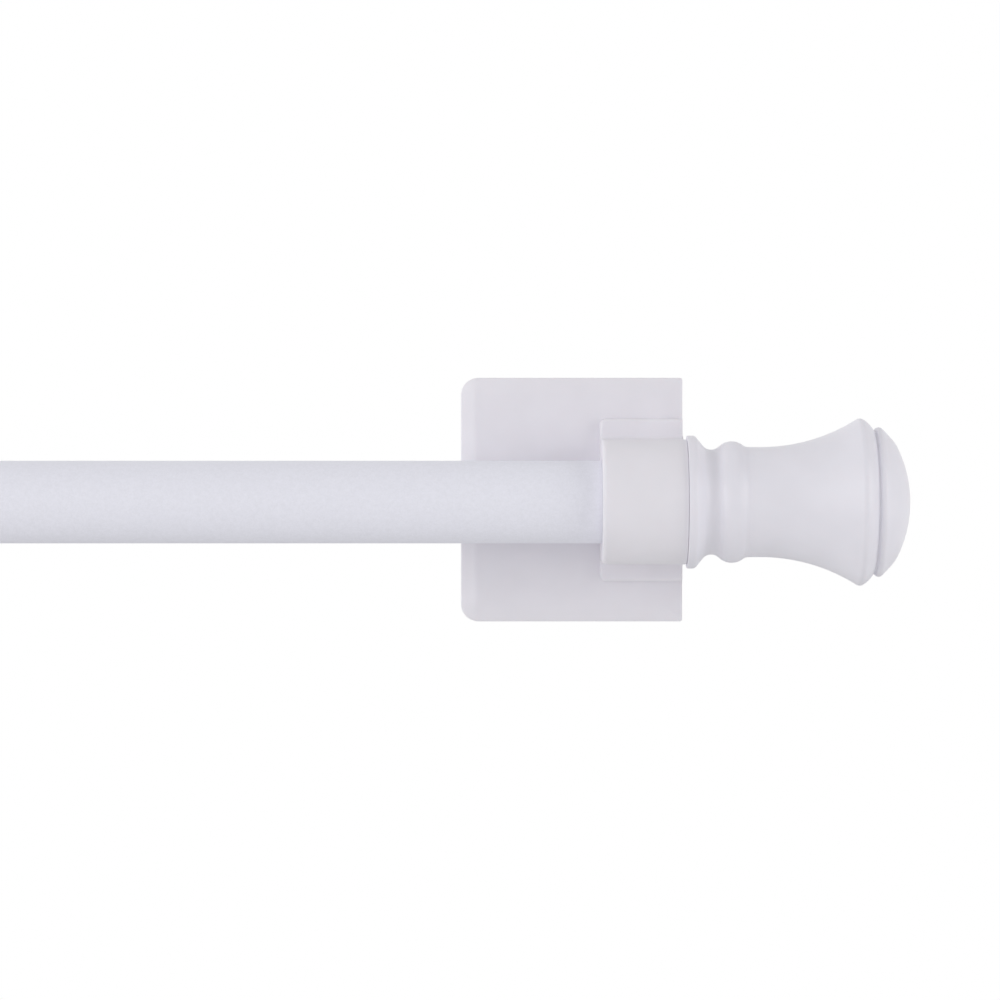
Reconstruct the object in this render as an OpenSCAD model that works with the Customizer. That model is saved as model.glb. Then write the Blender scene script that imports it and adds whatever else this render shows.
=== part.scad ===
// Telescoping curtain rod with two magnetic brackets and two screw-on trumpet finials.
// Origin: centre of the right-hand bracket's back pad, on the door's face.
// +X runs along the rod to the right-hand finial, +Y into the door, +Z up. Millimetres.

/* [Rod] */
// Outside diameter of the outer tube, 5/8 in
tube_d = 15.9; // [15.5:0.1:16.5]
// Outside diameter of the inner tube, 1/2 in
inner_tube_d = 12.7; // [12:0.1:13]
// Wall of both tubes
tube_wall = 0.5; // [0.4:0.1:0.6]
// Distance between the brackets' outer faces as drawn, 20 in
span = 508; // [410:1:705]
// Shortest distance between the brackets' outer faces, 16 in
span_min = 406; // [400:1:410]
// Longest distance between the brackets' outer faces, 28 in
span_max = 711; // [705:1:715]

/* [Bracket plate] */
// Width of the plate, along the rod
plate_w = 43.6; // [42:0.1:46]
// Height of the plate
plate_h = 48; // [46:0.5:54]
// Thickness of the plate without its back pad
plate_t = 8.7; // [8.5:0.1:9.5]
// Radius of the two corners on the curtain side
plate_corner_r = 3.4; // [2:0.1:5]
// Width of the front bevel on the curtain side
side_bevel_w = 2.3; // [1:0.1:3]
// Depth of the front bevel on the curtain side
side_bevel_t = 1.3; // [0.5:0.1:1.5]
// Width of the front bevels on the top, the bottom and the finial side
soft_bevel_w = 2.6; // [1:0.1:4]
// Depth of the front bevels on the top, the bottom and the finial side
soft_bevel_t = 0.8; // [0.3:0.1:1.2]

/* [Bracket collar] */
// Distance from the door to the rod's centre line
rod_standoff = 25; // [24:0.5:30]
// Outside diameter of the collar's round nose
nose_d = 24; // [22:0.5:28]
// Width of the collar, along the rod
collar_w = 16.3; // [14:0.1:18]
// Height of the collar's foot
foot_h = 32; // [30:1:40]
// Thickness of the collar's foot
foot_t = 2; // [1.5:0.1:2.5]
// Wall that closes the collar on the finial side
end_wall = 3; // [2.5:0.1:4]
// Radial gap between the rod and the collar's bore
collar_gap = 0.05; // [0.03:0.01:0.1]

/* [Magnets] */
// Thickness of each magnet
magnet_t = 4.7; // [4:0.1:4.8]
// Height of each magnet
magnet_h = 20; // [16:0.5:20]
// Thickness of the steel yoke behind the plate's front wall
yoke_t = 1.4; // [1:0.1:1.5]
// Thickness of the back pad
pad_t = 0.8; // [0.5:0.1:1]

/* [Finial] */
// Distance from the finial's base to the tip of its dome
finial_l = 42.9; // [42:0.1:44]
// Largest radius of the base ring
ring_r = 12.8; // [12.5:0.1:13.5]
// Smallest radius of the neck between the base ring and the bead
neck_r = 10.1; // [9.5:0.1:10.4]
// Largest radius of the bead
bead_r = 11.7; // [11.4:0.1:12]
// Radius of the straight stretch after the bead
body_r = 10.6; // [10.4:0.1:10.8]
// Radius of the cap's edge
cap_r = 14.4; // [14.2:0.1:15]

/* [Fasteners] */
// Thread diameter of the finial's bolt
bolt_d = 6; // [5:0.5:6]
// Length of the bolt under its head
bolt_l = 25; // [24:0.5:26]
// Width across the flats of the bolt's head
bolt_flats = 10; // [9:0.5:10]
// Height of the bolt's head
bolt_head_t = 4; // [3:0.5:4]
// Outside diameter of the brass thread insert
insert_d = 8.4; // [8:0.1:9]
// Length of the brass thread insert
insert_l = 10; // [8:0.5:12]
// Thread diameter of the collar's screws
screw_d = 3; // [2.5:0.5:3]
// Length of the collar's screws, head included
screw_l = 8; // [6:0.5:8]

/* [Hidden] */

$fn = 96;
slack = 0.05;              // between pieces that only lie beside each other
press = 0.02;              // radial room of a pressed or glued joint
stop_gap = 0.5;            // left between two pieces at the end of a travel
over = 1;                  // how far a cutter runs past the surface that it cuts

white = "white";
nylon = "ivory";
pad_grey = "gainsboro";
steel = "silver";
ferrite = "dimgray";
brass = "goldenrod";

// Places along the rod
outer_face_x = plate_w / 2;                       // finial side of the right-hand collar
inner_face_x = outer_face_x - collar_w;           // curtain side of the right-hand collar
mid_x = outer_face_x - span / 2;                  // mirror plane between the brackets
seat_gap = 0.1;                                   // between a tube plug and the end wall
plug_face_x = outer_face_x - end_wall - seat_gap;
plug_flange_t = 1.5;
plug_l = 14;
tube_end_x = plug_face_x - plug_flange_t;

// The mouth bush just clears the left-hand collar at the shortest span
bush_flange_t = 2;
bush_flange_r = tube_d / 2 + 0.5;
bush_l = 12;
mouth_x = outer_face_x - span_min + collar_w + stop_gap;
outer_tube_l = tube_end_x - (mouth_x + bush_flange_t);

// The tubes still overlap by this much at the longest span
least_overlap = 60;
left_tube_end_x = 2 * mid_x - tube_end_x;
glide_x = mouth_x + least_overlap + span_max - span;   // inner tube's end inside the outer tube
inner_tube_l = glide_x - left_tube_end_x;
glide_head_l = 3;
glide_spigot_l = 12;

// Three dimples pressed into the outer tube stop the glide at the longest span
dimple_ball_r = 1.9;
dimple_ball_out = tube_d / 2 + 1.05;              // ball's centre from the rod's centre line
dimple_x = mouth_x + least_overlap - dimple_ball_r - tube_wall - stop_gap;

// Plate and the cavity for its yoke and magnets
rim_recess = 0.3;                                 // the pad stands this far out of the rim
front_y = -rim_recess - plate_t;
front_wall = 1.8;
side_wall = 2;
cavity_y = front_y + front_wall;
cavity_w = plate_w - 2 * side_wall;
cavity_h = plate_h - 2 * side_wall;

// Collar
foot_corner_r = 1.2;
core_w = collar_w - 4;
core_h = 7;
core_y = -rod_standoff + tube_d / 2 + collar_gap + 1.6;
screw_x = (inner_face_x + outer_face_x) / 2;
screw_z = 8.2;
screw_head_d = 5.6;
screw_head_t = 1.5;
screw_point_l = 1.5;

// Finial, measured along the rod from its base
finial_gap = 0.1;                                 // between the finial's base and the collar
finial_x = outer_face_x + finial_gap;
washer_r = 6;
washer_t = 0.95;
washer_seat = washer_t + slack - finial_gap;
ring_round = 1;
ring_at = [ring_r - ring_round, ring_round];
neck_round = 2.1;
neck_at = [neck_r + neck_round, 4.65];
bead_round = 3.5;
bead_at = [bead_r - bead_round, 8.6];
flare_start = 14.2;
flare_round = 34.6;
flare_at = [body_r + flare_round, flare_start];
rim_round = 1.2;
rim_u = 33.25;
rim_at = [flare_at[0] - sqrt(pow(flare_round + rim_round, 2) - pow(rim_u - flare_start, 2)), rim_u];
mouth_u = 35.8;
mouth_r = 12.5;
mouth_depth = 5;
finial_wall = 2.1;
bolt_seat = 9.8;
pocket_u = bolt_seat + bolt_head_t;
groove_w = 0.3;
groove_r = 13.4;
cap_edge_round = 0.8;
cap_edge_at = [cap_r - cap_edge_round, mouth_u + groove_w + cap_edge_round];
dome_r = 23.8;
dome_u = finial_l - dome_r;
dome_wall = 2.4;
spigot_r = mouth_r - press;
spigot_wall = 1.6;
slope_45 = [cos(45), sin(45)];

// Normal of the line that touches a round at p from outside and a hollow at q, both as
// [radius, place] with radii rp and rq
function tangent_normal(p, rp, q, rq) =
    let (d = q - p, a = atan2(d[1], d[0]), b = acos((rp + rq) / norm(d)))
    d[1] > 0 ? [cos(a - b), sin(a - b)] : [cos(a + b), sin(a + b)];

// Places a shape drawn along +Z on the rod's centre line, from x towards +X
module on_rod(x) {
    translate([x, -rod_standoff, 0]) rotate([0, 90, 0]) children();
}

// The left-hand end is the right-hand one mirrored
module on_left() {
    translate([2 * mid_x, 0, 0]) mirror([1, 0, 0]) children();
}

module ring(r_out, r_in, l) {
    difference() {
        cylinder(r = r_out, h = l);
        translate([0, 0, -over]) cylinder(r = r_in, h = l + 2 * over);
    }
}

// ---- Bracket ----

// Upright panel from y to the front, with round corners on the curtain side
module panel(x, w, h, r, y, t) {
    translate([x, y, -h / 2]) rotate([90, 0, 0]) linear_extrude(t) {
        translate([r, 0]) square([w - r, h]);
        translate([0, r]) square([r + over, h - 2 * r]);
        for (z = [r, h - r]) translate([r, z]) circle(r);
    }
}

// Wedge that takes a front bevel off the right-hand edge of a plate
module bevel_cutter(edge, length, w, t) {
    slope = t / w;
    translate([0, 0, -length / 2]) linear_extrude(length)
        polygon([[edge - w - over, front_y - slope * over], [edge + over, front_y + t + slope * over],
                 [edge + over, front_y - over], [edge - w - over, front_y - over]]);
}

module housing() {
    long = plate_h + plate_w;
    color(white) difference() {
        panel(-plate_w / 2, plate_w, plate_h, plate_corner_r, -rim_recess, plate_t);
        // the collar's foot covers the middle of the finial side, so the bevel stops at it
        for (z = [-1, 1]) translate([0, 0, z * (foot_h + plate_h) / 2])
            bevel_cutter(plate_w / 2, plate_h, soft_bevel_w, soft_bevel_t);
        mirror([1, 0, 0]) bevel_cutter(plate_w / 2, long, side_bevel_w, side_bevel_t);
        for (a = [-90, 90])
            rotate([0, a, 0]) bevel_cutter(plate_h / 2, long, soft_bevel_w, soft_bevel_t);
        translate([-cavity_w / 2, cavity_y, -cavity_h / 2])
            cube([cavity_w, -cavity_y, cavity_h]);
        for (z = [-screw_z, screw_z]) screw_shape(z, screw_l, press, over);
    }
}

// Countersunk screw driven from inside the housing; room widens it for its hole
module screw_shape(z, l, room, head_over = 0) {
    translate([screw_x, cavity_y, z]) rotate([90, 0, 0]) {
        cylinder(r1 = screw_head_d / 2 + room, r2 = screw_d / 2 + room, h = screw_head_t);
        cylinder(r = screw_d / 2 + room, h = l - screw_point_l);
        translate([0, 0, l - screw_point_l])
            cylinder(r1 = screw_d / 2 + room, r2 = 0.4 + room, h = screw_point_l);
        if (head_over > 0)
            translate([0, 0, -head_over]) cylinder(r = screw_head_d / 2 + room, h = head_over);
    }
}

module collar_screws() {
    color(steel) for (z = [-screw_z, screw_z]) screw_shape(z, screw_l, 0);
}

module collar() {
    bore_r = tube_d / 2 + collar_gap;
    color(white) difference() {
        union() {
            panel(inner_face_x, collar_w, foot_h, foot_corner_r, front_y, foot_t);
            on_rod(inner_face_x) linear_extrude(collar_w) {
                circle(d = nose_d);
                translate([-nose_d / 2, 0]) square([nose_d, rod_standoff + front_y]);
            }
        }
        on_rod(inner_face_x - over) cylinder(r = bore_r, h = collar_w - end_wall + over);
        on_rod(inner_face_x) cylinder(d = bolt_d + 0.6, h = collar_w + over);
        translate([screw_x - core_w / 2, core_y, -core_h / 2])
            cube([core_w, front_y + over - core_y, core_h]);
        for (z = [-screw_z, screw_z]) screw_shape(z, screw_l + 0.5, press);
    }
}

module yoke() {
    color(steel) translate([-cavity_w / 2 + 0.3, cavity_y + slack, -cavity_h / 2 + 0.3])
        cube([cavity_w - 0.6, yoke_t, cavity_h - 0.6]);
}

module magnet(side) {
    magnet_w = cavity_w - 1.6;
    half_gap = 0.75;
    low_z = side > 0 ? half_gap : -half_gap - magnet_h;
    color(ferrite) translate([-magnet_w / 2, cavity_y + 2 * slack + yoke_t, low_z])
        cube([magnet_w, magnet_t, magnet_h]);
}

module back_pad() {
    r = 1.5;
    w = cavity_w - 0.4;
    h = cavity_h - 0.4;
    color(pad_grey) rotate([90, 0, 0]) linear_extrude(pad_t) {
        square([w - 2 * r, h], center = true);
        square([w, h - 2 * r], center = true);
        for (x = [-1, 1], z = [-1, 1]) translate([x * (w / 2 - r), z * (h / 2 - r)]) circle(r);
    }
}

// ---- Rod ----

module outer_tube() {
    outer_r = tube_d / 2;
    bore_r = outer_r - tube_wall;
    color(white) difference() {
        union() {
            on_rod(mouth_x + bush_flange_t) ring(outer_r, bore_r, outer_tube_l);
            intersection() {
                for (a = [0:120:240]) dimple(a, dimple_ball_r + tube_wall);
                on_rod(dimple_x - 10) cylinder(r = bore_r + tube_wall / 2, h = 20);
            }
        }
        for (a = [0:120:240]) dimple(a, dimple_ball_r);
    }
}

module dimple(angle, r) {
    on_rod(dimple_x) rotate([0, 0, angle]) translate([0, dimple_ball_out, 0]) sphere(r, $fn = 48);
}

module inner_tube() {
    color(white) on_rod(left_tube_end_x)
        ring(inner_tube_d / 2, inner_tube_d / 2 - tube_wall, inner_tube_l);
}

// Plug pressed into a tube's end; its flange butts on the tube and it holds the brass insert
module tube_plug(body_d, flange_d) {
    color(nylon) on_rod(plug_face_x - plug_l) difference() {
        union() {
            cylinder(d = body_d - 2 * tube_wall - 2 * press, h = plug_l);
            translate([0, 0, plug_l - plug_flange_t]) cylinder(d = flange_d, h = plug_flange_t);
        }
        translate([0, 0, plug_l - insert_l]) cylinder(d = insert_d + 2 * press, h = insert_l + over);
        translate([0, 0, -over]) cylinder(d = bolt_d + 0.8, h = plug_l);
    }
}

module thread_insert() {
    color(brass) on_rod(plug_face_x - insert_l)
        ring(insert_d / 2, bolt_d / 2 + slack, insert_l);
}

// Ring on the outer tube's open end that guides the inner tube and covers the cut edge
module mouth_bush() {
    bore_r = inner_tube_d / 2 + slack;
    lead_in = 0.5;
    edge_round = 0.7;
    color(white) on_rod(mouth_x) rotate_extrude() difference() {
        union() {
            translate([0, edge_round]) square([bush_flange_r, bush_flange_t - edge_round]);
            square([bush_flange_r - edge_round, bush_flange_t]);
            translate([bush_flange_r - edge_round, edge_round]) circle(edge_round);
            square([tube_d / 2 - tube_wall - press, bush_l]);
        }
        translate([0, -over]) square([bore_r, bush_l + 2 * over]);
        polygon([[0, -over], [bore_r + lead_in + over, -over], [bore_r, lead_in], [0, lead_in]]);
    }
}

// Plastic plug on the inner tube's end that slides in the outer tube's bore
module glide() {
    head_r = tube_d / 2 - tube_wall - 0.1;
    neck = inner_tube_d / 2 - tube_wall - press;
    bore_r = neck - 1.5;
    lead_in = 0.8;
    color(nylon) on_rod(glide_x - glide_spigot_l) difference() {
        union() {
            cylinder(r = neck, h = glide_spigot_l + glide_head_l);
            translate([0, 0, glide_spigot_l]) {
                cylinder(r = head_r, h = glide_head_l - lead_in);
                translate([0, 0, glide_head_l - lead_in])
                    cylinder(r1 = head_r, r2 = head_r - lead_in, h = lead_in);
            }
        }
        translate([0, 0, -over]) cylinder(r = bore_r, h = glide_spigot_l + glide_head_l + 2 * over);
    }
}

// Sleeve that brings the inner tube up to the collar's bore
module reducer_sleeve() {
    flush = 0.5;
    color(white) on_rod(inner_face_x - flush)
        ring(tube_d / 2, inner_tube_d / 2 + press, tube_end_x - inner_face_x + flush - slack);
}

// ---- Finial ----

module washer() {
    color(nylon) on_rod(finial_x + washer_seat - washer_t)
        ring(washer_r, bolt_d / 2 + 0.2, washer_t);
}

// Outside of the finial's body as [radius, place]; rounds and hollows meet on tangent lines
module finial_outline() {
    down = tangent_normal(ring_at, ring_round, neck_at, neck_round);
    up = tangent_normal(bead_at, bead_round, neck_at, neck_round);
    difference() {
        union() {
            translate(ring_at) circle(ring_round);
            polygon([[0, 0], [ring_at[0], 0], ring_at + ring_round * down,
                     neck_at - neck_round * down, neck_at - neck_round * up,
                     bead_at + bead_round * up, [bead_at[0], bead_at[1] + bead_round], [0, bead_at[1]]]);
            translate(bead_at) circle(bead_round);
            square([body_r, rim_u]);
        }
        translate(neck_at) circle(neck_round);
    }
    trumpet_outline();
}

// The flare's hollow curve rolls over the rim and falls at 45 degrees to the mouth
module trumpet_outline() {
    touch = rim_at + rim_round * (flare_at - rim_at) / norm(flare_at - rim_at);
    leave = rim_at + rim_round * slope_45;
    lip_r = leave[0] + leave[1] - mouth_u;
    difference() {
        polygon([[0, flare_start], [touch[0], flare_start], touch, rim_at, [0, rim_u]]);
        translate(flare_at) circle(flare_round, $fn = 256);
    }
    translate(rim_at) circle(rim_round);
    polygon([[0, rim_u], rim_at, leave, [lip_r, mouth_u], [0, mouth_u]]);
}

module finial_body() {
    core_r = body_r - finial_wall;
    color(white) on_rod(finial_x) difference() {
        rotate_extrude() difference() {
            finial_outline();
            polygon([[0, -over], [washer_r + 0.2, -over], [washer_r + 0.2, washer_seat],
                     [bolt_d / 2 + press, washer_seat], [bolt_d / 2 + press, pocket_u],
                     [core_r, pocket_u], [core_r, flare_start + 8], [mouth_r - 0.4, mouth_u - mouth_depth],
                     [mouth_r, mouth_u - mouth_depth], [mouth_r, mouth_u + over], [0, mouth_u + over]]);
        }
        translate([0, 0, bolt_seat]) bolt_head(bolt_head_t + over, press);
    }
}

module bolt_head(h, room) {
    cylinder(d = (bolt_flats + 2 * room) / cos(30), h = h, $fn = 6);
}

module finial_bolt() {
    point_l = 0.6;
    color(steel) on_rod(finial_x + bolt_seat) {
        bolt_head(bolt_head_t, 0);
        translate([0, 0, -bolt_l]) cylinder(d1 = bolt_d - 2 * point_l, d2 = bolt_d, h = point_l);
        translate([0, 0, point_l - bolt_l]) cylinder(d = bolt_d, h = bolt_l - point_l + bolt_head_t / 2);
    }
}

// Dome with a spigot pressed into the body's mouth; the step under its edge leaves the groove
module finial_cap() {
    edge_start = cap_edge_at + cap_edge_round * slope_45;
    edge_run = 8;
    color(white) on_rod(finial_x) rotate_extrude() difference() {
        union() {
            translate(cap_edge_at) circle(cap_edge_round);
            intersection() {
                translate([0, dome_u]) circle(dome_r, $fn = 192);
                polygon([[0, mouth_u + groove_w], [cap_edge_at[0], mouth_u + groove_w], edge_start,
                         edge_start + edge_run * [-1, 1], [0, edge_start[1] + edge_run]]);
            }
            translate([0, mouth_u]) square([groove_r, 2 * groove_w]);
            translate([0, mouth_u - mouth_depth + 0.5]) square([spigot_r, mouth_depth]);
        }
        intersection() {
            translate([0, dome_u]) circle(dome_r - dome_wall, $fn = 192);
            translate([0, mouth_u - mouth_depth - over]) square([spigot_r - spigot_wall, 2 * mouth_depth]);
        }
        translate([-50, 0]) square([50, 50]);
    }
}

housing();  // right_housing
yoke();  // right_yoke
magnet(1);  // right_magnet_upper
magnet(-1);  // right_magnet_lower
back_pad();  // right_back_pad
collar();  // right_collar
collar_screws();  // right_collar_screws
outer_tube();
tube_plug(tube_d, tube_d);  // right_tube_plug
thread_insert();  // right_thread_insert
mouth_bush();
washer();  // right_washer
finial_body();  // right_finial_body
finial_bolt();  // right_finial_bolt
finial_cap();  // right_finial_cap
inner_tube();
glide();
on_left() tube_plug(inner_tube_d, tube_d);  // left_tube_plug
on_left() thread_insert();  // left_thread_insert
on_left() reducer_sleeve();
on_left() washer();  // left_washer
on_left() finial_body();  // left_finial_body
on_left() finial_bolt();  // left_finial_bolt
on_left() finial_cap();  // left_finial_cap
on_left() housing();  // left_housing
on_left() yoke();  // left_yoke
on_left() magnet(1);  // left_magnet_upper
on_left() magnet(-1);  // left_magnet_lower
on_left() back_pad();  // left_back_pad
on_left() collar();  // left_collar
on_left() collar_screws();  // left_collar_screws
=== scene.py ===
"""Looks of the telescoping curtain rod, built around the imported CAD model.

Shapes are worked out in millimetres in the CAD's own frame (+X along the rod, +Y into the door, +Z up)
and scaled to metres when they become objects.
"""
import math

import bmesh
import bpy
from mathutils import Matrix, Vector


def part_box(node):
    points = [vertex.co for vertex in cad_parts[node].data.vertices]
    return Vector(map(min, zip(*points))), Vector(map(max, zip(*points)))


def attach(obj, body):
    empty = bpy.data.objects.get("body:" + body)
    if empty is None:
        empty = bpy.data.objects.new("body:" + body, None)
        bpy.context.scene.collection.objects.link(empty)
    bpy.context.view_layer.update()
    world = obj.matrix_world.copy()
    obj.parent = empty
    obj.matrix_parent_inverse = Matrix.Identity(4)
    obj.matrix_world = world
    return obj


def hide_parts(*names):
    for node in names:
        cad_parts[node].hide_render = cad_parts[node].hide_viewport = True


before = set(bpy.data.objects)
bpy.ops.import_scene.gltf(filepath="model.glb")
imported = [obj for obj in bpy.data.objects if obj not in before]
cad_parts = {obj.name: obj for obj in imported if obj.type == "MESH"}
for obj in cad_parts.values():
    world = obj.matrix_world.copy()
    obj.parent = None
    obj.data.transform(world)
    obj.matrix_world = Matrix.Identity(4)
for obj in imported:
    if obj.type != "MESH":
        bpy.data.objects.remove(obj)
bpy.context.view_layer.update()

MM = 0.001
SIDES = ("right", "left")


def box_mm(node):
    """Lowest and highest corner of a CAD node, in millimetres."""
    low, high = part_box(node)
    return low / MM, high / MM


# ---------------------------------------------------------------- places taken from the CAD model

PLATE_LOW, PLATE_HIGH = box_mm("right_housing")
COLLAR_LOW, COLLAR_HIGH = box_mm("right_collar")
PAD_LOW, PAD_HIGH = box_mm("right_back_pad")
TUBE_LOW, TUBE_HIGH = box_mm("outer_tube")
INNER_LOW, INNER_HIGH = box_mm("inner_tube")
BUSH_LOW, BUSH_HIGH = box_mm("mouth_bush")
SLEEVE_LOW, SLEEVE_HIGH = box_mm("reducer_sleeve")
WASHER_LOW, WASHER_HIGH = box_mm("right_washer")
FINIAL_X = box_mm("right_finial_body")[0].x
CAP_TIP_X = box_mm("right_finial_cap")[1].x
BOLT_LOW, BOLT_HIGH = box_mm("right_finial_bolt")

ROD_Y = (TUBE_LOW.y + TUBE_HIGH.y) / 2
ROD_Z = (TUBE_LOW.z + TUBE_HIGH.z) / 2
MID_X = (PLATE_HIGH.x + box_mm("left_housing")[0].x) / 2
TUBE_R = (TUBE_HIGH.z - TUBE_LOW.z) / 2
INNER_R = (INNER_HIGH.z - INNER_LOW.z) / 2
TUBE_WALL = 0.5
CLEAR = 0.02                   # gap left where two pieces meet face to face


# ---------------------------------------------------------------- curves

def arc(centre, radius, start, end, steps):
    """Points on a round from start to end degrees, both ends included."""
    points = []
    for i in range(steps + 1):
        a = math.radians(start + (end - start) * i / steps)
        points.append((centre[0] + radius * math.cos(a), centre[1] + radius * math.sin(a)))
    return points


def bend(p, q, r, steps):
    """A smooth bend from p to r that leaves and arrives along the lines to q."""
    points = []
    for i in range(steps + 1):
        t = i / steps
        a, b, c = (1 - t) ** 2, 2 * t * (1 - t), t * t
        points.append((a * p[0] + b * q[0] + c * r[0], a * p[1] + b * q[1] + c * r[1]))
    return points


def tangent_angle(p, rp, q, rq):
    """Angle in degrees from p towards q, and how far aside of it the rounds' crossing tangent touches."""
    dx, dy = q[0] - p[0], q[1] - p[1]
    towards = math.degrees(math.atan2(dy, dx))
    aside = math.degrees(math.acos((rp + rq) / math.hypot(dx, dy)))
    return towards, aside


# ---------------------------------------------------------------- meshes

def loft(rings, cap_start=False, cap_end=False, closed=False):
    """Skin over rings of points. A ring of one point is a pole."""
    verts, faces, starts = [], [], []
    for ring in rings:
        starts.append(len(verts))
        verts.extend(ring)
    pairs = list(zip(range(len(rings) - 1), range(1, len(rings))))
    if closed:
        pairs.append((len(rings) - 1, 0))
    for a, b in pairs:
        ring_a, ring_b = rings[a], rings[b]
        count = max(len(ring_a), len(ring_b))
        for i in range(count):
            j = (i + 1) % count
            if len(ring_a) == 1:
                faces.append((starts[a], starts[b] + i, starts[b] + j))
            elif len(ring_b) == 1:
                faces.append((starts[a] + i, starts[b], starts[a] + j))
            else:
                faces.append((starts[a] + i, starts[b] + i, starts[b] + j, starts[a] + j))
    if cap_start:
        faces.append(tuple(starts[0] + i for i in range(len(rings[0]))))
    if cap_end:
        faces.append(tuple(starts[-1] + i for i in range(len(rings[-1]))))
    return verts, faces


def rod_ring(x, radius, steps):
    """A circle about the rod's centre line."""
    if radius < 1e-6:
        return [(x, ROD_Y, ROD_Z)]
    turns = [2 * math.pi * i / steps for i in range(steps)]
    return [(x, ROD_Y + radius * math.cos(a), ROD_Z + radius * math.sin(a)) for a in turns]


def lathe(x0, profile, steps=160, closed=True):
    """Turns a profile of (distance along the rod, radius) about the rod's centre line."""
    return loft([rod_ring(x0 + u, r, steps) for u, r in profile], closed=closed)


def mirrored(verts):
    return [(2 * MID_X - x, y, z) for x, y, z in verts]


def turned_round(verts):
    """Half a turn about the upright line through the rod's middle, which keeps a thread right-handed."""
    return [(2 * MID_X - x, 2 * ROD_Y - y, z) for x, y, z in verts]


def new_object(name, verts, faces, sharp_deg=38):
    mesh = bpy.data.meshes.new(name)
    mesh.from_pydata([(x * MM, y * MM, z * MM) for x, y, z in verts], [], faces)
    bm = bmesh.new()
    bm.from_mesh(mesh)
    bmesh.ops.remove_doubles(bm, verts=bm.verts, dist=1e-8)
    bmesh.ops.recalc_face_normals(bm, faces=bm.faces)
    bm.to_mesh(mesh)
    bm.free()
    mesh.shade_smooth()
    mesh.set_sharp_from_angle(angle=math.radians(sharp_deg))
    obj = bpy.data.objects.new(name, mesh)
    bpy.context.scene.collection.objects.link(obj)
    return obj


def even_normals(obj):
    """Lets the broad faces set the shading, so that a small round beside them stays small."""
    modifier = obj.modifiers.new("even_normals", "WEIGHTED_NORMAL")
    modifier.keep_sharp = True
    modifier.weight = 60


def finish_piece(obj, material, body, node):
    obj.data.materials.clear()
    obj.data.materials.append(material)
    even_normals(obj)
    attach(obj, body)
    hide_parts(node)


def both_ends(stem, shape, material, body, node, left_shape=mirrored):
    """The same piece at the right-hand end and at the left-hand one."""
    verts, faces = shape
    for side in SIDES:
        placed = verts if side == "right" else left_shape(verts)
        obj = new_object(f"{side}_{stem}", placed, faces)
        finish_piece(obj, material, f"{side}_{body}", f"{side}_{node}")


# ---------------------------------------------------------------- materials

def node_of(tree, kind, **values):
    node = tree.nodes.new(kind)
    for name, value in values.items():
        if hasattr(node, name):
            setattr(node, name, value)
        else:
            node.inputs[name.replace("_", " ")].default_value = value
    return node


def noise(tree, coords, size_mm, detail=2.0, roughness=0.5):
    """Soft noise whose lumps are about size_mm across."""
    scale = 1 / (size_mm * MM)
    texture = node_of(tree, "ShaderNodeTexNoise", Scale=scale, Detail=detail, Roughness=roughness)
    tree.links.new(coords, texture.inputs["Vector"])
    return texture.outputs["Fac"]


def stretched(tree, coords, scale):
    mapping = node_of(tree, "ShaderNodeMapping")
    mapping.inputs["Scale"].default_value = scale
    tree.links.new(coords, mapping.inputs["Vector"])
    return mapping.outputs["Vector"]


def spread(tree, value, low, high, from_low=0.3, from_high=0.7):
    """Maps a noise's middle range to low..high."""
    node = node_of(tree, "ShaderNodeMapRange")
    node.inputs["From Min"].default_value = from_low
    node.inputs["From Max"].default_value = from_high
    node.inputs["To Min"].default_value = low
    node.inputs["To Max"].default_value = high
    tree.links.new(value, node.inputs["Value"])
    return node.outputs["Result"]


def two_tone(tree, value, dark, light):
    mix = tree.nodes.new("ShaderNodeMix")
    mix.data_type = "RGBA"
    colours = [socket for socket in mix.inputs if socket.type == "RGBA"]
    colours[0].default_value = (*dark, 1)
    colours[1].default_value = (*light, 1)
    tree.links.new(value, mix.inputs[0])
    return [socket for socket in mix.outputs if socket.type == "RGBA"][0]


def combine(tree, a, b, weight):
    """a + weight * b"""
    node = node_of(tree, "ShaderNodeMath", operation="MULTIPLY_ADD")
    tree.links.new(b, node.inputs[0])
    node.inputs[1].default_value = weight
    tree.links.new(a, node.inputs[2])
    return node.outputs[0]


def bump(tree, height, depth_mm, shader):
    node = node_of(tree, "ShaderNodeBump")
    node.inputs["Strength"].default_value = 1.0
    node.inputs["Distance"].default_value = depth_mm * MM
    tree.links.new(height, node.inputs["Height"])
    tree.links.new(node.outputs["Normal"], shader.inputs["Normal"])


def shaded(colour, factor):
    return tuple(min(1.0, c * factor) for c in colour)


def paint(tree, shader, fac, colour, dark, light):
    """Base colour that runs between two shades of one colour."""
    shades = two_tone(tree, fac, shaded(colour, dark), shaded(colour, light))
    tree.links.new(shades, shader.inputs["Base Color"])


def roughen(tree, shader, value, low, high):
    """Roughness that follows a noise between low and high."""
    tree.links.new(spread(tree, value, low, high), shader.inputs["Roughness"])


def new_material(name):
    material = bpy.data.materials.new(name)
    material.use_nodes = True
    tree = material.node_tree
    shader = tree.nodes["Principled BSDF"]
    coords = tree.nodes.new("ShaderNodeTexCoord").outputs["Object"]
    return material, tree, shader, coords


def powder_coat(name, colour):
    """White powder coat: an orange peel of soft hills with fine grains, and a very faint mottle."""
    material, tree, shader, coords = new_material(name)
    hills = noise(tree, coords, 0.8, detail=1.0)
    grains = noise(tree, coords, 0.3, detail=3.0, roughness=0.6)
    mottle = noise(tree, coords, 3.0, detail=2.0)
    tone = combine(tree, combine(tree, grains, hills, 0.6), mottle, 0.15)
    fac = spread(tree, tone, 0.0, 1.0, 0.66, 1.09)
    paint(tree, shader, fac, colour, 0.965, 1.018)
    roughen(tree, shader, hills, 0.40, 0.56)
    bump(tree, combine(tree, hills, grains, 0.4), 0.024, shader)
    return material


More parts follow.
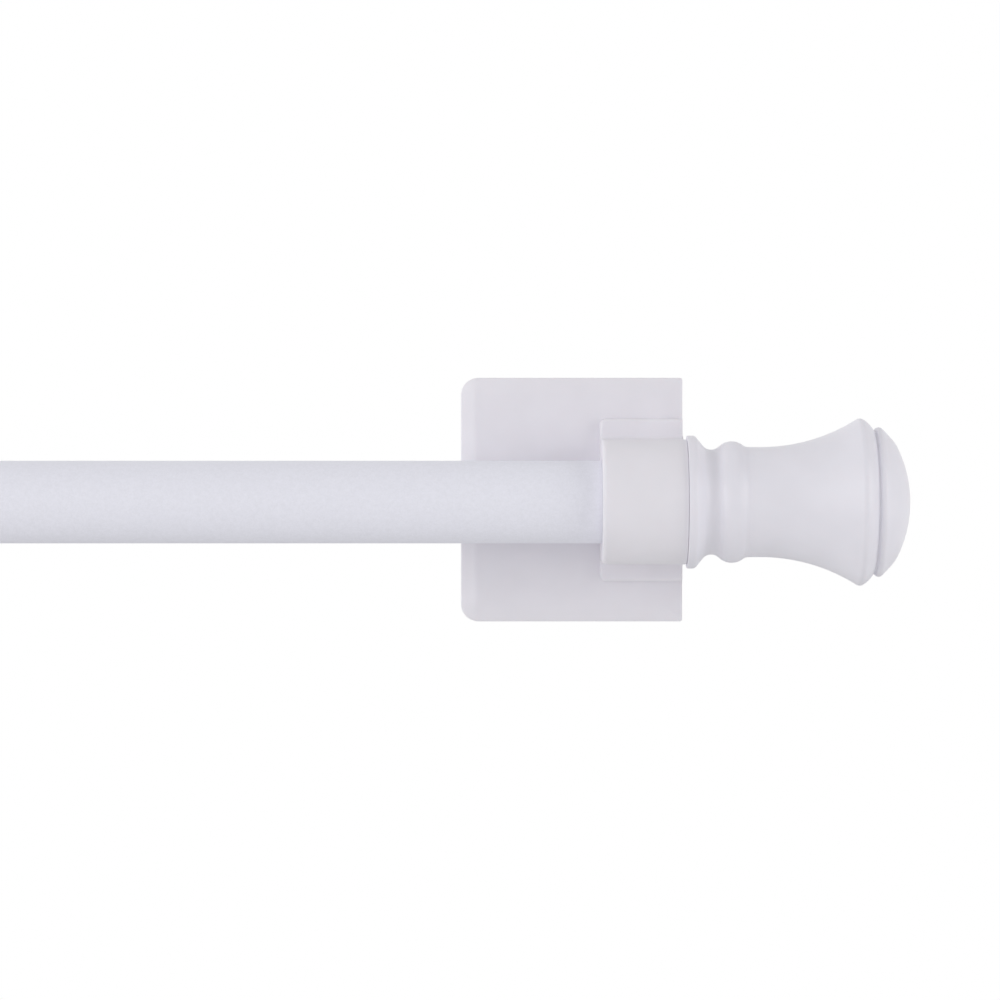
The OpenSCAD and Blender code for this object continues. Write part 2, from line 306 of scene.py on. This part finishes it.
def moulded_plastic(name, colour, roughness=0.42):
    """Satin moulded plastic: a fine spark texture, faint flow marks and a few hairline rubs."""
    material, tree, shader, coords = new_material(name)
    spark = noise(tree, coords, 0.16, detail=2.0)
    flow = noise(tree, coords, 9.0, detail=2.0)
    rubs = noise(tree, stretched(tree, coords, (0.06, 1.0, 1.0)), 0.5, detail=3.0)
    fac = spread(tree, combine(tree, flow, spark, 0.15), 0.0, 1.0, 0.42, 0.74)
    paint(tree, shader, fac, colour, 0.985, 1.012)
    worn = combine(tree, spread(tree, flow, roughness - 0.03, roughness + 0.03), rubs, 0.06)
    tree.links.new(worn, shader.inputs["Roughness"])
    bump(tree, combine(tree, spark, rubs, 0.3), 0.005, shader)
    shader.inputs["Subsurface Weight"].default_value = 0.06
    shader.inputs["Subsurface Radius"].default_value = (1.0, 0.75, 0.7)
    shader.inputs["Subsurface Scale"].default_value = 0.0012
    return material


def plated_steel(name, colour):
    """Zinc plate: fine drawn lines along the rod and small crystals."""
    material, tree, shader, coords = new_material(name)
    lines = noise(tree, stretched(tree, coords, (0.05, 1.0, 1.0)), 0.25, detail=3.0)
    crystals = noise(tree, coords, 1.2, detail=3.0)
    fac = spread(tree, crystals, 0.0, 1.0)
    paint(tree, shader, fac, colour, 0.9, 1.08)
    roughen(tree, shader, lines, 0.26, 0.44)
    bump(tree, lines, 0.004, shader)
    shader.inputs["Metallic"].default_value = 1.0
    return material


def turned_brass(name, colour):
    """Brass with tool lines round the axis and a slight tarnish."""
    material, tree, shader, coords = new_material(name)
    lines = noise(tree, stretched(tree, coords, (1.0, 0.05, 0.05)), 0.12, detail=2.0)
    tarnish = noise(tree, coords, 2.5, detail=3.0)
    fac = spread(tree, tarnish, 0.0, 1.0)
    paint(tree, shader, fac, colour, 0.82, 1.0)
    roughen(tree, shader, lines, 0.24, 0.42)
    bump(tree, lines, 0.006, shader)
    shader.inputs["Metallic"].default_value = 1.0
    return material


def sintered_ferrite(name, colour):
    """Dark sintered magnet: a coarse pressed grain with pale specks."""
    material, tree, shader, coords = new_material(name)
    grain = noise(tree, coords, 0.35, detail=5.0, roughness=0.7)
    fac = spread(tree, grain, 0.0, 1.0, 0.45, 0.75)
    paint(tree, shader, fac, colour, 0.75, 1.9)
    roughen(tree, shader, grain, 0.5, 0.75)
    bump(tree, grain, 0.03, shader)
    return material


def soft_rubber(name, colour):
    """Matt pad with a fine pressed grain and a few soft scuffs."""
    material, tree, shader, coords = new_material(name)
    grain = noise(tree, coords, 0.28, detail=3.0)
    scuffs = noise(tree, stretched(tree, coords, (1.0, 1.0, 0.6)), 5.0, detail=4.0)
    fac = spread(tree, combine(tree, scuffs, grain, 0.3), 0.0, 1.0, 0.5, 0.8)
    paint(tree, shader, fac, colour, 0.93, 1.05)
    roughen(tree, shader, scuffs, 0.68, 0.82)
    bump(tree, grain, 0.03, shader)
    return material


POWDER = powder_coat("powder_coat_white", (0.886, 0.886, 0.967))
BRACKET_PLASTIC = moulded_plastic("bracket_plastic_white", (0.864, 0.843, 0.896))
FINIAL_PLASTIC = moulded_plastic("finial_plastic_white", (0.862, 0.847, 0.913), roughness=0.36)
ROD_PLASTIC = moulded_plastic("rod_plastic_white", (0.866, 0.854, 0.895))
NYLON = moulded_plastic("natural_nylon", (0.78, 0.755, 0.66), roughness=0.5)
STEEL = plated_steel("zinc_plated_steel", (0.60, 0.60, 0.61))
BRASS = turned_brass("turned_brass", (0.72, 0.53, 0.25))
FERRITE = sintered_ferrite("ferrite", (0.055, 0.055, 0.06))
RUBBER = soft_rubber("pad_rubber", (0.46, 0.46, 0.47))


# ---------------------------------------------------------------- bracket plate

PLATE_W = PLATE_HIGH.x - PLATE_LOW.x
PLATE_H = PLATE_HIGH.z - PLATE_LOW.z
PLATE_FRONT_Y = PLATE_LOW.y
RIM_Y = PLATE_HIGH.y
CORNER_R = 3.4
EDGE_R = 0.5                   # round of the two corners on the finial side
SIDE_BEVEL = (2.8, 1.4)        # width and depth of the bevel on the curtain side
SOFT_BEVEL = (2.6, 0.6)        # width and depth of the bevel on the other three sides
CAVITY_INSET = 2.0
CAVITY_EDGE_R = 1.5
FRONT_WALL = 1.8
RIM_ROUND_R = 0.3


def upright_outline(low_x, high_x, half_h, left_r, right_r, steps=10):
    """Rounded rectangle in X and Z; each radius is (along X, along Z)."""
    corners = [
        (high_x - right_r[0], -half_h + right_r[1], right_r, 270),
        (high_x - right_r[0], half_h - right_r[1], right_r, 0),
        (low_x + left_r[0], half_h - left_r[1], left_r, 90),
        (low_x + left_r[0], -half_h + left_r[1], left_r, 180),
    ]
    points = []
    for cx, cz, r, start in corners:
        for i in range(steps + 1):
            a = math.radians(start + 90 * i / steps)
            points.append((cx + r[0] * math.cos(a), cz + r[1] * math.sin(a)))
    return points


def upright_ring(y, left, right, top, corner_r, edge_r):
    """Plate outline pulled in by left, right and top, at depth y."""
    left_r = (max(0.3, corner_r - left), max(0.3, corner_r - top))
    right_r = (max(0.25, edge_r - right), max(0.25, edge_r - top))
    outline = upright_outline(PLATE_LOW.x + left, PLATE_HIGH.x - right, PLATE_H / 2 - top, left_r, right_r)
    return [(x, y, z) for x, z in outline]


def bevel_line(bevel, ease_out, ease_in):
    """Inset against depth below the front, from a bevel's outer edge to the face, with both edges eased."""
    width, depth = bevel
    length = math.hypot(width, depth)
    across, up = width / length, -depth / length
    first = bend((0, depth + ease_out), (0, depth), (across * ease_out, depth + up * ease_out), 6)
    last = bend((width - across * ease_in, -up * ease_in), (width, 0), (width + ease_in, 0), 10)
    return first + last


def inset_at(line, depth):
    """Inset of a bevel line at a depth below the front."""
    for (inset_a, depth_a), (inset_b, depth_b) in zip(line, line[1:]):
        if depth_b <= depth <= depth_a:
            t = 0 if depth_a == depth_b else (depth_a - depth) / (depth_a - depth_b)
            return inset_a + t * (inset_b - inset_a)
    return 0.0


def plate_shape():
    """The open-backed tray: cavity floor, rim, then the outside forward to the bevelled front."""
    side_line = bevel_line(SIDE_BEVEL, 0.5, 0.5)
    soft_line = bevel_line(SOFT_BEVEL, 0.4, 1.3)
    deepest = side_line[0][1]
    floor_y = PLATE_FRONT_Y + FRONT_WALL
    rings = [upright_ring(floor_y, CAVITY_INSET, CAVITY_INSET, CAVITY_INSET, CORNER_R, CAVITY_EDGE_R)]
    inner_at = (CAVITY_INSET - RIM_ROUND_R, RIM_Y - RIM_ROUND_R)
    for inset, y in arc(inner_at, RIM_ROUND_R, 0, 90, 4):
        rings.append(upright_ring(y, inset, inset, inset, CORNER_R, CAVITY_EDGE_R))
    for inset, y in arc((RIM_ROUND_R, RIM_Y - RIM_ROUND_R), RIM_ROUND_R, 90, 180, 4):
        rings.append(upright_ring(y, inset, inset, inset, CORNER_R, EDGE_R))
    steps = 26
    for i in range(steps, -1, -1):
        depth = deepest * (i / steps) ** 2
        left, soft = inset_at(side_line, depth), inset_at(soft_line, depth)
        rings.append(upright_ring(PLATE_FRONT_Y + depth, left, soft, soft, CORNER_R, EDGE_R))
    return loft(rings, cap_start=True, cap_end=True)


# ---------------------------------------------------------------- bracket collar

NOSE_R = ROD_Y - COLLAR_LOW.y
BORE_R = TUBE_R + 0.05
END_WALL = 3.0
BOLT_HOLE_R = 3.3
FOOT_T = 2.0
FOOT_FRONT_Y = PLATE_FRONT_Y - FOOT_T
MOUTH_ROUND = 0.9              # round on the collar's curtain side
TAIL_ROUND = 0.15              # round on its finial side
ROOT_ROUND = 0.7               # hollow where the block meets its foot
FOOT_FLUSH = 0.05              # the foot stops this far inside the block's finial side
OVERLAP = 0.3                  # the block ends, and the lip starts, this far in front of the plate


def block_outline(inset):
    """The collar's D in Y and Z: a round nose, straight sides, and a hollow at the foot."""
    half = NOSE_R - inset
    hollow_y = FOOT_FRONT_Y - ROOT_ROUND
    side = [(ROD_Y + (hollow_y - ROD_Y) * i / 6, half) for i in range(1, 7)]
    for i in range(1, 7):
        a = math.radians(90 * i / 6)
        side.append((hollow_y + ROOT_ROUND * math.sin(a), half + ROOT_ROUND * (1 - math.cos(a))))
    side.append((PLATE_FRONT_Y - OVERLAP, half + ROOT_ROUND))
    nose = [(ROD_Y - half * math.sin(a), half * math.cos(a))
            for a in (math.pi * i / 64 for i in range(65))]
    back = [(PLATE_FRONT_Y - OVERLAP, (half + ROOT_ROUND) * (1 - i / 5)) for i in range(1, 10)]
    lower = [(y, -z) for y, z in side]
    return nose + lower + [(y, -z) for y, z in back] + side[::-1]


def block_ring(x, inset):
    return [(x, y, ROD_Z + z) for y, z in block_outline(inset)]


def hole_ring(x, radius):
    """A circle whose points lie on the same rays as the D outline's."""
    ring = []
    for y, z in block_outline(0):
        a = math.atan2(z, y - ROD_Y)
        ring.append((x, ROD_Y + radius * math.cos(a), ROD_Z + radius * math.sin(a)))
    return ring


def block_shape():
    """The collar's block: its bore, the mouth on the curtain side, and the wall the bolt passes."""
    low, high = COLLAR_LOW.x, COLLAR_HIGH.x
    floor_x = high - END_WALL
    rings = [hole_ring(floor_x, BORE_R), hole_ring(low + 0.4, BORE_R), hole_ring(low, BORE_R + 0.3)]
    for inset, x in arc((MOUTH_ROUND, low + MOUTH_ROUND), MOUTH_ROUND, 270, 180, 8):
        rings.append(block_ring(x, inset))
    for inset, x in arc((TAIL_ROUND, high - TAIL_ROUND), TAIL_ROUND, 180, 90, 5):
        rings.append(block_ring(x, inset))
    rings += [hole_ring(high, BOLT_HOLE_R + 0.2), hole_ring(high - 0.2, BOLT_HOLE_R)]
    rings.append(hole_ring(floor_x, BOLT_HOLE_R))
    return loft(rings, closed=True)


def foot_shape():
    """The low foot under the collar's block, with rounded corners and front edges."""
    edge, corner_left, corner_right = 0.7, 1.3, 0.5
    half = (COLLAR_HIGH.z - COLLAR_LOW.z) / 2

    def ring(y, inset):
        left_r = (max(0.3, corner_left - inset),) * 2
        right_r = (max(0.2, corner_right - inset),) * 2
        low_x, high_x = COLLAR_LOW.x + inset, COLLAR_HIGH.x - FOOT_FLUSH - inset
        outline = upright_outline(low_x, high_x, half - inset, left_r, right_r)
        return [(x, y, z) for x, z in outline]

    rings = [ring(PLATE_FRONT_Y, 0)]
    for inset, y in arc((edge, FOOT_FRONT_Y + edge), edge, 180, 270, 7):
        rings.append(ring(y, inset))
    return loft(rings, cap_start=True, cap_end=True)


def lip_shape():
    """Wedge under the foot that fills the plate's bevel on the finial side."""
    width, depth = SOFT_BEVEL
    half = (COLLAR_HIGH.z - COLLAR_LOW.z) / 2 - FOOT_FLUSH
    low_x, high_x = COLLAR_HIGH.x - width, COLLAR_HIGH.x - FOOT_FLUSH
    outline = [(low_x, PLATE_FRONT_Y - OVERLAP), (high_x, PLATE_FRONT_Y - OVERLAP),
               (high_x, PLATE_FRONT_Y + depth), (low_x, PLATE_FRONT_Y)]
    rings = [[(x, y, z) for x, y in outline] for z in (-half, half)]
    return loft(rings, cap_start=True, cap_end=True)


def joined(shapes, name):
    """The union of shapes as one closed mesh, in millimetres."""
    objects = [new_object(f"{name}_{i}", *shape) for i, shape in enumerate(shapes)]
    for other in objects[1:]:
        modifier = objects[0].modifiers.new("union", "BOOLEAN")
        modifier.operation = "UNION"
        modifier.solver = "EXACT"
        modifier.object = other
    graph = bpy.context.evaluated_depsgraph_get()
    mesh = bpy.data.meshes.new_from_object(objects[0].evaluated_get(graph))
    verts = [tuple(v.co / MM) for v in mesh.vertices]
    faces = [tuple(p.vertices) for p in mesh.polygons]
    for obj in objects:
        bpy.data.objects.remove(obj)
    return verts, faces


# ---------------------------------------------------------------- back pad

def pad_shape():
    """The back pad, a thin sheet with rounded corners and edges."""
    edge = 0.22
    corner = 1.5

    def ring(y, inset):
        r = (corner - inset,) * 2
        outline = upright_outline(PAD_LOW.x + inset, PAD_HIGH.x - inset, PAD_HIGH.z - inset, r, r)
        return [(x, y, z) for x, z in outline]

    rings = [ring(y, inset) for inset, y in arc((edge, PAD_LOW.y + edge), edge, 270, 180, 4)]
    rings += [ring(y, inset) for inset, y in arc((edge, PAD_HIGH.y - edge), edge, 180, 90, 4)]
    return loft(rings, cap_start=True, cap_end=True)


# ---------------------------------------------------------------- rod

DIMPLE_X = BUSH_LOW.x + 57.1
DIMPLE_DEPTH = 1.2
DIMPLE_R = 2.1
DIMPLE_TURNS = (0, 120, 240)


def tube_stations(low, high, edge):
    """Places along a tube: its rounded ends, and a close row across the dimples."""
    row = [DIMPLE_X + 0.25 * i for i in range(-16, 17)]
    return [low + edge] + [x for x in row if low + edge < x < high - edge] + [high - edge]


def dimple_drop(x, a):
    """How far the wall is pushed in at x and angle a: a round dent with a rolled edge."""
    drop = 0.0
    for turn in DIMPLE_TURNS:
        off = (a - math.radians(turn) + math.pi) % (2 * math.pi) - math.pi
        distance = math.hypot(x - DIMPLE_X, off * TUBE_R) / DIMPLE_R
        if distance < 1.6:
            drop += DIMPLE_DEPTH * math.exp(-(distance ** 2) * 1.6)
    return drop


def dented_ring(x, radius, steps):
    ring = []
    for i in range(steps):
        a = 2 * math.pi * i / steps
        r = radius - dimple_drop(x, a)
        ring.append((x, ROD_Y + r * math.cos(a), ROD_Z + r * math.sin(a)))
    return ring


def outer_tube_shape():
    """The outer tube, with its stop dimples pressed through both faces of its wall."""
    steps = 192
    edge = 0.12
    low, high = TUBE_LOW.x, TUBE_HIGH.x
    bore = TUBE_R - TUBE_WALL
    rings = [dented_ring(x, TUBE_R, steps) for x in tube_stations(low, high, edge)]
    rings.append(rod_ring(high, TUBE_R - edge, steps))
    rings.append(rod_ring(high, bore + edge, steps))
    rings += [dented_ring(x, bore, steps) for x in reversed(tube_stations(low, high, edge))]
    rings.append(rod_ring(low, bore + edge, steps))
    rings.append(rod_ring(low, TUBE_R - edge, steps))
    return loft(rings, closed=True)


def pipe_profile(length, outer, bore, edge):
    """A pipe's section with rounded ends."""
    return (arc((edge, outer - edge), edge, 180, 90, 4)
            + arc((length - edge, outer - edge), edge, 90, 0, 4)
            + arc((length - edge, bore + edge), edge, 0, -90, 4)
            + arc((edge, bore + edge), edge, -90, -180, 4))


def bush_profile():
    """The bush's section: a bell-mouthed flange and a spigot inside the outer tube."""
    flange_r = (BUSH_HIGH.z - BUSH_LOW.z) / 2
    flange_t = TUBE_LOW.x - BUSH_LOW.x
    length = BUSH_HIGH.x - BUSH_LOW.x
    bore = INNER_R + 0.05
    spigot = TUBE_R - TUBE_WALL - 0.02
    lead = 0.5
    nose = 0.7
    return (bend((lead + 0.3, bore), (0.1, bore), (0, bore + lead), 6)
            + arc((nose, flange_r - nose), nose, 180, 90, 8)
            + arc((flange_t - 0.2, flange_r - 0.2), 0.2, 90, 0, 4)
            + [(flange_t, spigot), (length - 0.4, spigot), (length, spigot - 0.4), (length, bore)])


# ---------------------------------------------------------------- finial

BOLT_R = 3.0
FINIAL_L = CAP_TIP_X - FINIAL_X
RING_AT, RING_ROUND = (1.0, 11.8), 1.0
BACK_U, BACK_ROUND = -0.06, 0.2    # back face of the ring, close to the collar, and its round
NECK_AT, NECK_ROUND = (4.65, 12.2), 2.1
BEAD_AT, BEAD_ROUND = (8.6, 8.2), 3.5
STRAIGHT_R = 10.6
FLARE_AT, FLARE_ROUND = (14.2, 45.2), 34.6
RIM_U, RIM_ROUND = 33.25, 1.2
MOUTH_U, MOUTH_R, MOUTH_LIP = 35.8, 12.5, 14.05
MOUTH_DEPTH = 5.0
DOME_R = 23.8
CAP_R = 14.4
GROOVE_W, GROOVE_R = 0.32, 13.85


def finial_profile():
    """The finial body's section: ring, neck, bead, straight, trumpet and rim, then its hollow inside."""
    towards, aside = tangent_angle(RING_AT, RING_ROUND, NECK_AT, NECK_ROUND)
    down = towards + aside
    towards, aside = tangent_angle(BEAD_AT, BEAD_ROUND, NECK_AT, NECK_ROUND)
    up = towards - aside
    bead_end = 52.0
    bead_leave = (BEAD_AT[0] + BEAD_ROUND * math.cos(math.radians(bead_end)),
                  BEAD_AT[1] + BEAD_ROUND * math.sin(math.radians(bead_end)))
    foot_u = bead_leave[0] + (bead_leave[1] - STRAIGHT_R) * math.tan(math.radians(bead_end))
    reach = FLARE_ROUND + RIM_ROUND
    rim_at = (RIM_U, FLARE_AT[1] - math.sqrt(reach ** 2 - (RIM_U - FLARE_AT[0]) ** 2))
    flare_end = math.degrees(math.atan2(rim_at[1] - FLARE_AT[1], rim_at[0] - FLARE_AT[0])) + 360
    rim_leave = 60
    rim = arc(rim_at, RIM_ROUND, flare_end - 180, rim_leave, 8)
    lip_slope = 1.35
    start = rim[-1]
    slope = 1 / math.tan(math.radians(rim_leave))
    cross_u = ((start[1] + slope * start[0]) - (MOUTH_LIP + lip_slope * MOUTH_U)) / (slope - lip_slope)
    cross = (cross_u, start[1] - slope * (cross_u - start[0]))
    shoulder = bend(start, cross, (MOUTH_U - 0.06, MOUTH_LIP), 10)
    crest = RING_AT[1] + RING_ROUND
    outside = (arc((BACK_U + BACK_ROUND, crest - BACK_ROUND), BACK_ROUND, 180, 90, 6)
               + arc(RING_AT, RING_ROUND, 90, down, 10)
               + arc(NECK_AT, NECK_ROUND, down + 180, up + 180, 18)
               + arc(BEAD_AT, BEAD_ROUND, up, bead_end, 18)
               + bend(bead_leave, (foot_u, STRAIGHT_R), (foot_u + 0.7, STRAIGHT_R), 6)[1:]
               + arc(FLARE_AT, FLARE_ROUND, 270, flare_end, 34)
               + rim + shoulder)
    bolt_r = BOLT_R + CLEAR
    core_r, core_ends, core_starts = STRAIGHT_R - 2.1, 22.2, 13.8
    recess_r, recess_edge = 6.2, 0.15
    seat = WASHER_HIGH.x - FINIAL_X + CLEAR
    step_u = MOUTH_U - MOUTH_DEPTH
    inside = [(MOUTH_U, MOUTH_LIP - 0.12), (MOUTH_U, MOUTH_R), (step_u, MOUTH_R), (step_u, MOUTH_R - 0.4),
              (core_ends, core_r), (core_starts, core_r), (core_starts, bolt_r), (seat, bolt_r),
              (seat, recess_r), (BACK_U + recess_edge, recess_r), (BACK_U, recess_r + recess_edge)]
    return outside + inside


def cap_profile():
    """The domed cap's section, from the outside of its tip round to the inside of its tip."""
    edge = 0.8
    wall = 2.4
    centre = FINIAL_L - DOME_R
    edge_at = (MOUTH_U + 0.3 + edge, CAP_R - edge)
    leave = (edge_at[0] + edge * math.cos(math.radians(45)), edge_at[1] + edge * math.sin(math.radians(45)))
    dome_from = 27.0
    out, up = math.cos(math.radians(dome_from)), math.sin(math.radians(dome_from))
    joint = (centre + DOME_R * out, DOME_R * up)
    reach = (sum(leave) - sum(joint)) / (out - up)
    corner = (joint[0] - up * reach, joint[1] + out * reach)
    groove_u = MOUTH_U + GROOVE_W
    spigot = MOUTH_R - 0.02
    bore = spigot - 1.6
    inner_end = math.degrees(math.asin(bore / (DOME_R - wall)))
    return (arc((centre, 0), DOME_R, 0, dome_from - 2, 28)
            + bend(joint, corner, leave, 10)
            + arc(edge_at, edge, 45, 90, 6)[1:]
            + bend((edge_at[0], CAP_R), (groove_u + 0.13, CAP_R - 0.04), (groove_u, GROOVE_R), 8)[1:]
            + [(MOUTH_U, GROOVE_R), (MOUTH_U, spigot),
               (MOUTH_U - MOUTH_DEPTH + 0.8, spigot), (MOUTH_U - MOUTH_DEPTH + 0.5, spigot - 0.3),
               (MOUTH_U - MOUTH_DEPTH + 0.5, bore)]
            + arc((centre, 0), DOME_R - wall, inner_end, 0, 16))


# ---------------------------------------------------------------- bolt and washer

THREAD_PITCH = 1.0
THREAD_DEPTH = 0.61
THREAD_L = 19.0
HEAD_T = 4.0
HEAD_FLATS = 10.0


def thread_radius(u, turn):
    """Radius of the shank at u from the bolt's tip; turn is 0..1 round it."""
    phase = (u / THREAD_PITCH - turn) % 1.0
    away = abs(phase - 0.5) * 2
    ridge = min(1.0, max(0.0, (away - 0.12) / 0.7))
    run_out = min(1.0, max(0.0, (THREAD_L - u) / 1.5))
    radius = BOLT_R - THREAD_DEPTH * (1 - ridge) * run_out
    point = BOLT_R - 0.75 + u
    return min(radius, point)


def bolt_shape():
    """The bolt from its tip: a threaded shank, then a hexagon head with a chamfered end."""
    steps = 48
    low = BOLT_LOW.x
    shank = BOLT_HIGH.x - HEAD_T - low
    per_turn = 14
    rings = [[(low, ROD_Y, ROD_Z)]]
    stations = [THREAD_PITCH * i / per_turn for i in range(int(THREAD_L * per_turn / THREAD_PITCH) + 2)]
    for u in stations + [shank]:
        ring = []
        for i in range(steps):
            a = 2 * math.pi * i / steps
            r = thread_radius(u, i / steps)
            ring.append((low + u, ROD_Y + r * math.cos(a), ROD_Z + r * math.sin(a)))
        rings.append(ring)
    rings += [hex_ring(low + shank, 0.0, steps), hex_ring(BOLT_HIGH.x - 0.4, 0.0, steps)]
    rings.append(hex_ring(BOLT_HIGH.x, 0.5, steps))
    rings.append([(BOLT_HIGH.x, ROD_Y, ROD_Z)])
    return loft(rings)


def hex_ring(x, chamfer, steps):
    """Hexagon about the rod's centre line; its corners are cut back to a circle by chamfer."""
    half = HEAD_FLATS / 2
    ring = []
    for i in range(steps):
        a = 2 * math.pi * i / steps
        flat = (a + math.pi / 6) % (math.pi / 3) - math.pi / 6
        r = half / math.cos(flat)
        if chamfer:
            r = min(r, half / math.cos(math.pi / 6) - chamfer)
        ring.append((x, ROD_Y + r * math.cos(a), ROD_Z + r * math.sin(a)))
    return ring


def washer_shape():
    """A flat ring that is loose on the bolt."""
    length = WASHER_HIGH.x - WASHER_LOW.x
    outer = (WASHER_HIGH.z - WASHER_LOW.z) / 2
    return lathe(WASHER_LOW.x, pipe_profile(length, outer, BOLT_R + 0.2, 0.15), steps=96)


# ---------------------------------------------------------------- the pieces

collar_mesh = joined([block_shape(), foot_shape(), lip_shape()], "collar")
both_ends("plate_moulding", plate_shape(), BRACKET_PLASTIC, "bracket", "housing")
both_ends("collar_moulding", collar_mesh, BRACKET_PLASTIC, "bracket", "collar")
both_ends("rubber_pad", pad_shape(), RUBBER, "bracket", "back_pad")
both_ends("finial_trumpet", lathe(FINIAL_X, finial_profile()), FINIAL_PLASTIC, "finial",
          "finial_body")
both_ends("finial_dome", lathe(FINIAL_X, cap_profile(), closed=False), FINIAL_PLASTIC, "finial",
          "finial_cap")
both_ends("hex_bolt", bolt_shape(), STEEL, "finial", "finial_bolt", left_shape=turned_round)
both_ends("nylon_washer", washer_shape(), NYLON, "finial_washer", "washer")

inner_length = INNER_HIGH.x - INNER_LOW.x
sleeve_length = SLEEVE_HIGH.x - SLEEVE_LOW.x - CLEAR
inner_profile = pipe_profile(inner_length, INNER_R, INNER_R - TUBE_WALL, 0.12)
sleeve_profile = pipe_profile(sleeve_length, TUBE_R, INNER_R + CLEAR, 0.3)
ROD_PIECES = [
    ("outer_tube_coated", outer_tube_shape(), POWDER, "outer_rod", "powder_coat", "outer_tube"),
    ("inner_tube_coated", lathe(INNER_LOW.x, inner_profile), POWDER, "inner_rod", "powder_coat",
     "inner_tube"),
    ("mouth_bush_moulding", lathe(BUSH_LOW.x, bush_profile()), ROD_PLASTIC, "outer_rod", "rod_plastic",
     "mouth_bush"),
    ("reducer_sleeve_moulding", lathe(SLEEVE_LOW.x, sleeve_profile), ROD_PLASTIC, "inner_rod", "rod_plastic",
     "reducer_sleeve"),
]
for piece_name, shape, material, body, slot, node in ROD_PIECES:
    finish_piece(new_object(piece_name, *shape), material, body, node)

KEPT_NODES = {
    "yoke": STEEL, "magnet_upper": FERRITE, "magnet_lower": FERRITE, "collar_screws": STEEL,
    "tube_plug": NYLON, "thread_insert": BRASS,
}


def dress_cad_node(name, material):
    """A CAD node that is kept: its edges are eased and it gets its material."""
    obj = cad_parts[name]
    obj.data.materials.clear()
    obj.data.materials.append(material)
    weld = obj.modifiers.new("weld", "WELD")
    weld.merge_threshold = 1e-6
    ease = obj.modifiers.new("ease", "BEVEL")
    ease.width = 0.0002
    ease.segments = 2
    ease.limit_method = "ANGLE"
    ease.angle_limit = math.radians(50)
    even_normals(obj)


for stem, material in KEPT_NODES.items():
    for side in SIDES:
        dress_cad_node(f"{side}_{stem}", material)
dress_cad_node("glide", NYLON)


# ---------------------------------------------------------------- studio

CAMERA_DISTANCE = 0.744
CAMERA_X = -0.0141
CAMERA_RISE = 0.020
LOOK_OVER = 0.0004             # how far above the rod's centre line the camera looks
LENS = 139.1


def add_camera():
    data = bpy.data.cameras.new("camera")
    data.lens = LENS
    data.sensor_width = 36
    camera = bpy.data.objects.new("camera", data)
    bpy.context.scene.collection.objects.link(camera)
    camera.location = (CAMERA_X, ROD_Y * MM - CAMERA_DISTANCE, CAMERA_RISE + LOOK_OVER)
    camera.rotation_euler = (math.pi / 2 - math.atan(CAMERA_RISE / CAMERA_DISTANCE), 0, 0)
    bpy.context.scene.camera = camera


def add_softbox(name, azimuth, elevation, size, watts):
    """A square soft light that looks at the right bracket; azimuth is degrees from the front to the right."""
    target = Vector((0.010, -0.022, 0.0))
    distance = 1.1
    a, e = math.radians(azimuth), math.radians(elevation)
    towards = Vector((math.sin(a) * math.cos(e), -math.cos(a) * math.cos(e), math.sin(e)))
    data = bpy.data.lights.new(name, "AREA")
    data.shape = "SQUARE"
    data.size = size
    data.energy = watts
    light = bpy.data.objects.new(name, data)
    bpy.context.scene.collection.objects.link(light)
    light.location = target + towards * distance
    light.rotation_mode = "QUATERNION"
    light.rotation_quaternion = (-towards).to_track_quat("-Z", "Y")
    light.visible_camera = False


def add_world():
    """White all round for the camera. As a light it is a pale studio, brighter to the left and below."""
    level, right, back, above = 0.805, -0.27, 0.20, -0.26
    world = bpy.data.worlds.new("world")
    world.use_nodes = True
    tree = world.node_tree
    tree.nodes.clear()
    direction = tree.nodes.new("ShaderNodeTexCoord").outputs["Generated"]
    slope = node_of(tree, "ShaderNodeVectorMath", operation="DOT_PRODUCT")
    slope.inputs[1].default_value = (right, back, above)
    tree.links.new(direction, slope.inputs[0])
    strength = node_of(tree, "ShaderNodeMath", operation="ADD")
    strength.inputs[1].default_value = level
    tree.links.new(slope.outputs["Value"], strength.inputs[0])
    lit = node_of(tree, "ShaderNodeBackground", Color=(1, 1, 1, 1))
    tree.links.new(strength.outputs[0], lit.inputs["Strength"])
    seen = node_of(tree, "ShaderNodeBackground", Color=(1, 1, 1, 1), Strength=1.0)
    paths = tree.nodes.new("ShaderNodeLightPath")
    mix = tree.nodes.new("ShaderNodeMixShader")
    out = tree.nodes.new("ShaderNodeOutputWorld")
    tree.links.new(paths.outputs["Is Camera Ray"], mix.inputs[0])
    tree.links.new(lit.outputs[0], mix.inputs[1])
    tree.links.new(seen.outputs[0], mix.inputs[2])
    tree.links.new(mix.outputs[0], out.inputs["Surface"])
    bpy.context.scene.world = world


def add_floor():
    """A round pale floor well below the rod, small enough to stay out of the front view."""
    radius, z, steps = 3.0, -0.60, 128
    turns = [2 * math.pi * i / steps for i in range(steps)]
    mesh = bpy.data.meshes.new("floor")
    edge = [(radius * math.cos(a), radius * math.sin(a), z) for a in turns]
    mesh.from_pydata(edge, [], [tuple(range(steps))])
    floor = bpy.data.objects.new("floor", mesh)
    bpy.context.scene.collection.objects.link(floor)
    material, tree, shader, coords = new_material("floor_paper")
    fac = spread(tree, noise(tree, coords, 12.0, detail=4.0), 0.0, 1.0)
    dark, light = (0.805,) * 3, (0.825,) * 3
    tree.links.new(two_tone(tree, fac, dark, light), shader.inputs["Base Color"])
    shader.inputs["Roughness"].default_value = 0.8
    mesh.materials.append(material)


bpy.context.scene.view_settings.view_transform = "Standard"
bpy.context.scene.view_settings.look = "None"
add_camera()
add_world()
add_softbox("left_front", -35, 10, 0.8, 1.2)
add_softbox("left_side", -65, 12, 0.4, 1.5)
add_softbox("right_side", 65, 12, 0.8, 4.2)
add_floor()
